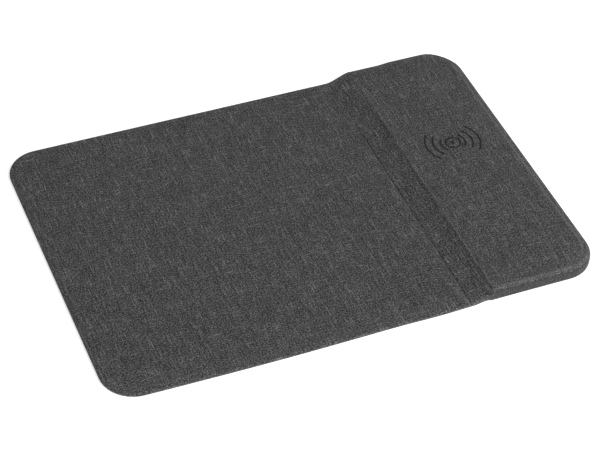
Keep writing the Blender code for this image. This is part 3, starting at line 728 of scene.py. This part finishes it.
def fabric_material(look):
    """Heathered plain weave: dark threads with lighter slubs, longer along the depth than across."""
    nodes = Nodes("heather_fabric")
    weave = nodes.new("UVMap", uv_map="Weave").outputs[0]
    u, v, _ = nodes.split(weave)
    sway = nodes.around(nodes.noise(weave, scale=30.0, detail=1.0), 0.7 * look.pitch)
    u, v = nodes.math("ADD", u, sway), nodes.math("SUBTRACT", v, sway)
    warp, warp_shade, warp_round = thread(nodes, u, v, look.slub, WARP_SEED, look)
    weft, weft_shade, weft_round = thread(nodes, v, u, 0.75 * look.slub, WEFT_SEED, look)
    over = nodes.math("MODULO", nodes.math("ABSOLUTE", nodes.math("ADD", warp, weft)), 2.0)
    warp_share = nodes.scale(over, 0.0, 1.0, 0.50, 0.76)
    shade = nodes.mix(warp_share, weft_shade, warp_shade, "FLOAT")
    palest = nodes.scale(nodes.math("MAXIMUM", warp_shade, weft_shade), 0.60, 0.80, 0.0, look.streak)
    fuzz = nodes.noise(weave, scale=3600.0, detail=2.0)
    fleck = nodes.noise(weave, scale=1250.0, detail=1.0)
    light = nodes.around(shade, look.contrast)
    light = nodes.math("ADD", light, nodes.around(fleck, look.fleck))
    light = nodes.math("ADD", light, palest)
    light = nodes.math("ADD", light, nodes.around(fuzz, 0.6))
    light = nodes.scale(light, -0.475, 1.63)
    crown = nodes.mix(over, weft_round, warp_round, "FLOAT")
    light = nodes.math("MULTIPLY", light, nodes.scale(crown, 0.0, 0.8, 0.45, 1.0))
    tone = nodes.mix(light, tuple(look.dark), tuple(look.light))
    patch = nodes.noise(weave, scale=34.0, detail=2.0)
    tone = nodes.mix(nodes.scale(patch, 0.3, 0.7, 0.0, 0.10), tone, tuple(look.dark))
    # Painted highlights: paler along the rounded edges, on the step and beside the crease, and towards the
    # front and the right.
    pale = nodes.new("Attribute", attribute_name="painted_highlight").outputs["Fac"]
    tone = nodes.mix(nodes.math("MULTIPLY", pale, 0.165), tone, tuple(look.light))
    # Darker in the sign's lines; painted shade in the crease and low on the charger's walls.
    pressed = nodes.new("Attribute", attribute_name="pressed").outputs["Fac"]
    tone = nodes.mix(nodes.math("MULTIPLY", pressed, 0.95), tone, times(look.dark, 0.6))
    nodes.bump(nodes.math("ADD", crown, nodes.math("MULTIPLY", fuzz, 0.5)), look.bump, 0.55)
    nodes.shader.inputs["Sheen Weight"].default_value = 0.12
    nodes.shader.inputs["Sheen Roughness"].default_value = 0.45
    nodes.shader.inputs["Specular IOR Level"].default_value = 0.25
    rough = nodes.scale(fuzz, 0.2, 0.8, look.roughness - 0.08, look.roughness)
    return nodes.set(Base_Color=tone, Roughness=rough)


def grained(name, tint, roughness, grain, depth, spread=0.12, metallic=0.0, specular=0.5):
    """A plain finish with a fine grain in its colour, its roughness and its surface."""
    nodes = Nodes(name)
    place = nodes.place()
    fine = nodes.noise(place, scale=1 / grain, detail=3.0)
    broad = nodes.noise(place, scale=0.08 / grain, detail=2.0)
    tone = nodes.mix(nodes.scale(fine, 0.3, 0.7), times(tint, 1 - spread), times(tint, 1 + spread))
    tone = nodes.mix(nodes.scale(broad, 0.35, 0.7, 0.0, 0.25), tone, times(tint, 1 - 2 * spread))
    nodes.bump(fine, depth, 0.6)
    nodes.shader.inputs["Metallic"].default_value = metallic
    nodes.shader.inputs["Specular IOR Level"].default_value = specular
    rough = nodes.scale(broad, 0.3, 0.7, roughness - 0.05, roughness + 0.07)
    return nodes.set(Base_Color=tone, Roughness=rough)


def rubber_material(tint):
    """Non-slip rubber with small raised diamonds."""
    nodes = Nodes("base_rubber")
    place = nodes.place()
    x, y, _ = nodes.split(place)
    pitch = 1.8 * MM
    first = nodes.math("SINE", nodes.math("MULTIPLY", nodes.math("ADD", x, y), math.pi / pitch))
    second = nodes.math("SINE", nodes.math("MULTIPLY", nodes.math("SUBTRACT", x, y), math.pi / pitch))
    stud = nodes.scale(nodes.math("ABSOLUTE", nodes.math("MULTIPLY", first, second)), 0.15, 0.75)
    grain = nodes.noise(place, scale=2600.0, detail=3.0)
    height = nodes.math("ADD", stud, nodes.math("MULTIPLY", grain, 0.35))
    nodes.bump(height, 0.12 * MM, 0.8)
    wear = nodes.noise(place, scale=28.0, detail=3.0)
    tone = nodes.mix(stud, times(tint, 0.7), times(tint, 1.25))
    tone = nodes.mix(nodes.scale(wear, 0.45, 0.75, 0.0, 0.35), tone, times(tint, 1.9))
    nodes.shader.inputs["Specular IOR Level"].default_value = 0.35
    return nodes.set(Base_Color=tone, Roughness=nodes.scale(wear, 0.3, 0.7, 0.72, 0.9))


def foam_material(tint):
    """Closed-cell foam with fine pores."""
    nodes = Nodes("foam")
    place = nodes.place()
    cells = nodes.new("TexVoronoi", feature="F1")
    nodes.link(place, cells.inputs["Vector"])
    cells.inputs["Scale"].default_value = 2800.0
    pores = nodes.scale(cells.outputs["Distance"], 0.1, 0.7)
    tone = nodes.mix(pores, times(tint, 1.5), times(tint, 0.6))
    nodes.bump(pores, 0.08 * MM, 0.7)
    nodes.shader.inputs["Specular IOR Level"].default_value = 0.2
    return nodes.set(Base_Color=tone, Roughness=nodes.scale(pores, 0.0, 1.0, 0.85, 0.97))


def board_material(mask):
    """Solder mask over copper tracks, with a few bare pads."""
    nodes = Nodes("board")
    place = nodes.place()
    cells = nodes.new("TexBrick")
    nodes.link(place, cells.inputs["Vector"])
    cells.inputs["Scale"].default_value = 260.0
    cells.inputs["Mortar Size"].default_value = 0.06
    track = nodes.math("SUBTRACT", 1.0, cells.outputs["Fac"])
    grain = nodes.noise(place, scale=1800.0, detail=2.0)
    tone = nodes.mix(track, times(mask, 0.75), times(mask, 1.7))
    tone = nodes.mix(nodes.scale(grain, 0.3, 0.7, 0.0, 0.2), tone, times(mask, 0.6))
    nodes.bump(nodes.math("ADD", track, nodes.math("MULTIPLY", grain, 0.2)), 0.03 * MM, 0.8)
    nodes.shader.inputs["Coat Weight"].default_value = 0.3
    return nodes.set(Base_Color=tone, Roughness=nodes.scale(grain, 0.3, 0.7, 0.32, 0.45))


def capped_material(name, body, cap, axis):
    """A small block with plated ends."""
    nodes = Nodes(name)
    parts = nodes.split(nodes.place("Generated"))
    out = nodes.math("ABSOLUTE", nodes.math("SUBTRACT", parts[axis], 0.5))
    end = nodes.scale(out, 0.33, 0.345)
    grain = nodes.noise(nodes.place(), scale=3500.0, detail=3.0)
    tone = nodes.mix(nodes.scale(grain, 0.3, 0.7), times(body, 0.85), times(body, 1.12))
    tone = nodes.mix(end, tone, tuple(cap))
    nodes.bump(nodes.math("ADD", grain, end), 0.03 * MM, 0.7)
    return nodes.set(Base_Color=tone, Metallic=end, Roughness=nodes.scale(grain, 0.3, 0.7, 0.34, 0.48))


def wire_material(tint):
    """Enamelled stranded copper wire."""
    nodes = Nodes("copper_wire")
    place = nodes.place()
    x, y, z = nodes.split(place)
    turn = nodes.math("ARCTAN2", nodes.math("SUBTRACT", y, ICON.y), nodes.math("SUBTRACT", x, ICON.x))
    out = nodes.math("ADD", nodes.math("MULTIPLY", turn, 190.0), nodes.math("MULTIPLY", z, 5200.0))
    strand = nodes.math("ABSOLUTE", nodes.math("SINE", out))
    grain = nodes.noise(place, scale=1500.0, detail=2.0)
    tone = nodes.mix(nodes.scale(strand, 0.1, 0.9), times(tint, 0.55), tuple(tint))
    tone = nodes.mix(nodes.scale(grain, 0.4, 0.8, 0.0, 0.3), tone, times(tint, 1.3))
    nodes.bump(strand, 0.05 * MM, 0.7)
    nodes.shader.inputs["Metallic"].default_value = 0.85
    nodes.shader.inputs["Coat Weight"].default_value = 0.4
    return nodes.set(Base_Color=tone, Roughness=nodes.scale(grain, 0.3, 0.7, 0.28, 0.4))


def dress(material, slot, *names):
    """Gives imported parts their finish."""
    for name in names:
        obj = frame["nodes"][name]
        obj.data.materials.clear()
        obj.data.materials.append(material)


def nodes_named(start):
    return [name for name in sorted(frame["nodes"]) if name.startswith(start)]


# Operators


class DESKMAT_OT_cover(Operator):
    """Build the one fabric cover over the mat, the ramp and the charger"""

    bl_idname = "deskmat.cover"
    bl_label = "Fabric cover"
    bl_options = {"REGISTER", "UNDO"}

    def execute(self, context):
        scene = context.scene
        sizes = scene.deskmat_cover
        cover = new_object("fabric_cover", cover_mesh(sizes, scene.deskmat_icon))
        shell = cover.modifiers.new("Thickness", "SOLIDIFY")
        shell.thickness = sizes.thickness
        shell.offset = -1.0
        settle(cover)
        room, corner = 0.3 * MM, 1.5 * MM
        low_x, high_x = BEZEL_LOW.x - room, BEZEL_HIGH.x + room
        port = outline(low_x, high_x, BEZEL_LOW.z - room, BEZEL_HIGH.z + room, corner, corner)
        cut(cover, "port_opening", port, BACK - 3 * MM, BACK + 3 * MM)
        pipe = (PIPE_LOW + PIPE_HIGH) / 2
        hole = (PIPE_HIGH.x - PIPE_LOW.x) / 2 + room
        light = outline(pipe.x - hole, pipe.x + hole, pipe.z - hole, pipe.z + hole, hole, hole)
        cut(cover, "light_opening", light[:-1], BACK - 3 * MM, BACK + 3 * MM)
        cover.data.materials.clear()
        cover.data.materials.append(fabric_material(scene.deskmat_fabric))
        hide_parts("mat_cover", "ramp_cover", "charger_cover")
        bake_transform(cover)
        return {"FINISHED"}


class DESKMAT_OT_foam(Operator):
    """Build the foam under the cover"""

    bl_idname = "deskmat.foam"
    bl_label = "Foam layers"
    bl_options = {"REGISTER", "UNDO"}

    def execute(self, context):
        layers = context.scene.deskmat_layers
        sizes = context.scene.deskmat_cover
        foam = foam_material(layers.foam)
        inset = sizes.thickness + layers.clearance
        low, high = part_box("mat_core")
        core = slab(
            "mat_foam",
            outline(LEFT + inset, high.x, -BACK + inset, BACK - inset, CORNER_R - inset, 0),
            low.z,
            MAT_TOP - inset - sizes.rim_dip,
            layers.foam_edge,
        )
        low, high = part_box("ramp_wedge")
        tall = sizes.ramp_end - inset
        wedge = slab("ramp_foam", outline(low.x, high.x, low.y, high.y, 0, 0), low.z, tall, layers.foam_edge)
        for vertex in wedge.data.vertices:
            place = vertex.co
            along = max(0.0, (place.x - CREASE_X) / (STEP_X - CREASE_X))
            top = MAT_TOP + (sizes.ramp_end - MAT_TOP) * along**sizes.ramp_hollow - inset - 0.1 * MM
            place.z = low.z + (place.z - low.z) * (top - low.z) / (tall - low.z)
        low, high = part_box("cushion_sheet")
        cushion = slab(
            "charger_cushion",
            outline(low.x, high.x, low.y, high.y, 0, CORNER_R - (RIGHT - high.x)),
            low.z,
            high.z,
            0.12 * MM,
        )
        for piece, body, node in (
            (core, "mat", "mat_core"),
            (wedge, "charger", "ramp_wedge"),
            (cushion, "charger", "cushion_sheet"),
        ):
            piece.data.materials.append(foam)
            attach(piece, body)
            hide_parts(node)
        return {"FINISHED"}


class DESKMAT_OT_base(Operator):
    """Build the non-slip base under the mat and the charger"""

    bl_idname = "deskmat.base"
    bl_label = "Non-slip base"
    bl_options = {"REGISTER", "UNDO"}

    def execute(self, context):
        layers = context.scene.deskmat_layers
        rubber = rubber_material(layers.rubber)
        radius = CORNER_R - BASE_INSET
        for node, name, body, left_r, right_r in (
            ("mat_base", "mat_base_sheet", "mat", radius, 0),
            ("charger_base", "charger_base_sheet", "charger", 0, radius),
        ):
            low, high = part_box(node)
            sheet = slab(
                name, outline(low.x, high.x, low.y, high.y, left_r, right_r), low.z, high.z, layers.base_edge
            )
            sheet.data.materials.append(rubber)
            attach(sheet, body)
            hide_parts(node)
        return {"FINISHED"}


class DESKMAT_OT_case(Operator):
    """Finish the case halves, the coil's tray and the screws"""

    bl_idname = "deskmat.case"
    bl_label = "Case and screws"
    bl_options = {"REGISTER", "UNDO"}

    def execute(self, context):
        look = context.scene.deskmat_hard
        plastic = grained("case_plastic", look.plastic, 0.5, 0.35 * MM, 0.04 * MM)
        dress(plastic, "case_plastic", "upper_case", "lower_case", "coil_tray", "socket_tongue", "port_bezel")
        steel = grained("steel", look.steel, 0.3, 0.5 * MM, 0.01 * MM, spread=0.06, metallic=1.0)
        dress(steel, "steel", "socket_shell", *nodes_named("case_screw_"))
        return {"FINISHED"}


class DESKMAT_OT_coil(Operator):
    """Finish the charging coil and its ferrite plate"""

    bl_idname = "deskmat.coil"
    bl_label = "Coil"
    bl_options = {"REGISTER", "UNDO"}

    def execute(self, context):
        look = context.scene.deskmat_hard
        dress(wire_material(look.copper), "copper_wire", "transmitter_coil")
        ferrite = grained("ferrite", look.ferrite, 0.62, 0.25 * MM, 0.02 * MM, spread=0.2, specular=0.4)
        dress(ferrite, "ferrite", "ferrite_plate", "filter_inductor")
        return {"FINISHED"}


class DESKMAT_OT_circuit(Operator):
    """Finish the circuit board and what is soldered on it"""

    bl_idname = "deskmat.circuit"
    bl_label = "Circuit"
    bl_options = {"REGISTER", "UNDO"}

    def execute(self, context):
        look = context.scene.deskmat_hard
        dress(board_material(look.mask), "board", "circuit_board")
        epoxy = grained("chip_epoxy", look.epoxy, 0.42, 0.15 * MM, 0.015 * MM, spread=0.15)
        dress(epoxy, "chip_epoxy", "controller_chip", *nodes_named("bridge_transistor_"))
        ceramic = capped_material("ceramic", look.ceramic, look.steel, 0)
        dress(ceramic, "ceramic", *nodes_named("resonant_capacitor_"), *nodes_named("input_capacitor_"))
        clear = grained("light_plastic", look.clear, 0.28, 0.6 * MM, 0.01 * MM, spread=0.05)
        dress(clear, "light_plastic", "status_led", "light_pipe")
        return {"FINISHED"}


class DESKMAT_OT_stage(Operator):
    """Set up the floor, the lights and the camera"""

    bl_idname = "deskmat.stage"
    bl_label = "Stage"
    bl_options = {"REGISTER", "UNDO"}

    def area_light(self, name, place, aim, size, power):
        data = bpy.data.lights.new(name, "AREA")
        data.shape = "DISK"
        data.size = size
        data.energy = power
        lamp = bpy.data.objects.new(name, data)
        lamp.location = place
        lamp.rotation_euler = (Vector(aim) - Vector(place)).to_track_quat("-Z", "Y").to_euler()
        bpy.context.scene.collection.objects.link(lamp)

    def execute(self, context):
        scene = context.scene
        look = scene.deskmat_stage
        floor = slab("floor", outline(-4, 4, -4, 4, 0, 0), -0.02, -0.0002)
        nodes = Nodes("floor")
        grain = nodes.noise(nodes.place(), scale=3.0)
        tone = nodes.mix(nodes.scale(grain, 0.3, 0.7), tuple(look.floor), times(look.floor, 0.99))
        floor.data.materials.append(nodes.set(Base_Color=tone, Roughness=0.9, Emission_Color=tone))
        nodes.shader.inputs["Emission Strength"].default_value = look.glow

        world = bpy.data.worlds.new("studio")
        world.use_nodes = True
        world.node_tree.nodes["Background"].inputs[0].default_value = (1, 1, 1, 1)
        world.node_tree.nodes["Background"].inputs[1].default_value = look.sky
        scene.world = world
        self.area_light("front_light", (0.30, -1.05, 0.93), (0.02, 0, 0), 0.7, look.key)
        self.area_light("side_light", (1.2, 0.5, 1.2), (0.05, 0, 0), 0.8, look.side)

        camera = bpy.data.objects.new("camera", bpy.data.cameras.new("camera"))
        scene.collection.objects.link(camera)
        camera.data.lens = look.lens
        camera.data.sensor_width = 36.0
        camera.data.shift_x, camera.data.shift_y = look.shift_x, look.shift_y
        camera.data.clip_start, camera.data.clip_end = 0.05, 20.0
        turn, rise = look.azimuth, look.elevation
        back = Vector((math.sin(turn) * math.cos(rise), -math.cos(turn) * math.cos(rise), math.sin(rise)))
        side = (-back).cross(Vector((0, 0, 1))).normalized()
        up = side.cross(-back)
        axes = Matrix((side, up, back)).transposed().to_4x4()
        camera.matrix_world = (
            Matrix.Translation(Vector(look.target) + back * look.distance)
            @ axes
            @ Matrix.Rotation(look.roll, 4, "Z")
        )
        scene.camera = camera
        scene.view_settings.view_transform = "Standard"
        return {"FINISHED"}


class DESKMAT_PT_panel(Panel):
    """Lists the pieces of the desk mat."""

    bl_label = "Desk mat"
    bl_idname = "DESKMAT_PT_panel"
    bl_space_type = "VIEW_3D"
    bl_region_type = "UI"
    bl_category = "Desk mat"

    def draw(self, context):
        for operator in OPERATORS:
            self.layout.operator(operator.bl_idname)


OPERATORS = (
    DESKMAT_OT_cover,
    DESKMAT_OT_foam,
    DESKMAT_OT_base,
    DESKMAT_OT_case,
    DESKMAT_OT_coil,
    DESKMAT_OT_circuit,
    DESKMAT_OT_stage,
)
GROUPS = {
    "deskmat_cover": CoverSizes,
    "deskmat_icon": IconSizes,
    "deskmat_fabric": FabricLook,
    "deskmat_layers": LayerSizes,
    "deskmat_hard": HardLook,
    "deskmat_stage": StageLook,
}


def register():
    for group in GROUPS.values():
        bpy.utils.register_class(group)
    for name, group in GROUPS.items():
        setattr(bpy.types.Scene, name, PointerProperty(type=group))
    for operator in OPERATORS:
        bpy.utils.register_class(operator)
    bpy.utils.register_class(DESKMAT_PT_panel)


def unregister():
    bpy.utils.unregister_class(DESKMAT_PT_panel)
    for operator in reversed(OPERATORS):
        bpy.utils.unregister_class(operator)
    for name in GROUPS:
        delattr(bpy.types.Scene, name)
    for group in reversed(GROUPS.values()):
        bpy.utils.unregister_class(group)


def main():
    register()
    bpy.ops.deskmat.stage()
    bpy.ops.deskmat.cover()
    bpy.ops.deskmat.foam()
    bpy.ops.deskmat.base()
    bpy.ops.deskmat.case()
    bpy.ops.deskmat.coil()
    bpy.ops.deskmat.circuit()


if __name__ == "__main__":
    main()
